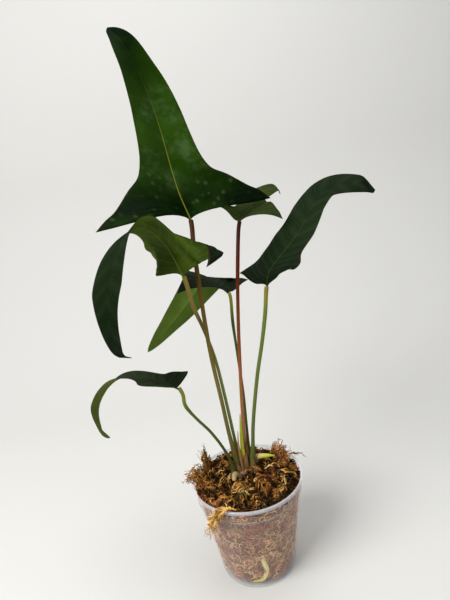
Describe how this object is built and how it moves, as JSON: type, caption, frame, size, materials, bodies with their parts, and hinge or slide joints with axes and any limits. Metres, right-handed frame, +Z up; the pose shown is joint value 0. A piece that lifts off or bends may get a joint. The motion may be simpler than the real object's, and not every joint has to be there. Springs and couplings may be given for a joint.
{
  "type": "potted anthurium cerrobaulense",
  "caption": "Anthurium with glossy trilobed leaves on long slender petioles, rooted in dry sphagnum moss in a clear tapered plastic pot that stands on its flat base.",
  "frame": {"origin": "middle of the pot's flat underside", "axes": "+Z up, the way the plant stands; +Y away from the side that the picture shows; +X to the right in the picture"},
  "size_m": [0.3159, 0.2508, 0.5862],
  "materials": {
    "clear_plastic": "clear, glossy",
    "moss": "dry, fibrous, matte",
    "stem": "matte",
    "leaf": "semi-gloss, veined",
    "petiole": "satin",
    "sheath": "matte, papery",
    "root": "matte"
  },
  "bodies": {
    "root": {"pot": "clear_plastic", "moss": "moss", "stem": "stem", "blade_tall": "leaf", "blade_young": "leaf", "blade_right": "leaf", "blade_left": "leaf", "blade_behind": "leaf", "blade_low": "leaf", "petiole_tall": "petiole", "petiole_young": "petiole", "petiole_right": "petiole", "petiole_left": "petiole", "petiole_behind": "petiole", "petiole_low": "petiole", "new_shoot": "petiole", "dry_sheath": "sheath", "aerial_root": "root", "root_stub": "root", "wall_root": "root"}
  },
  "joints": []
}
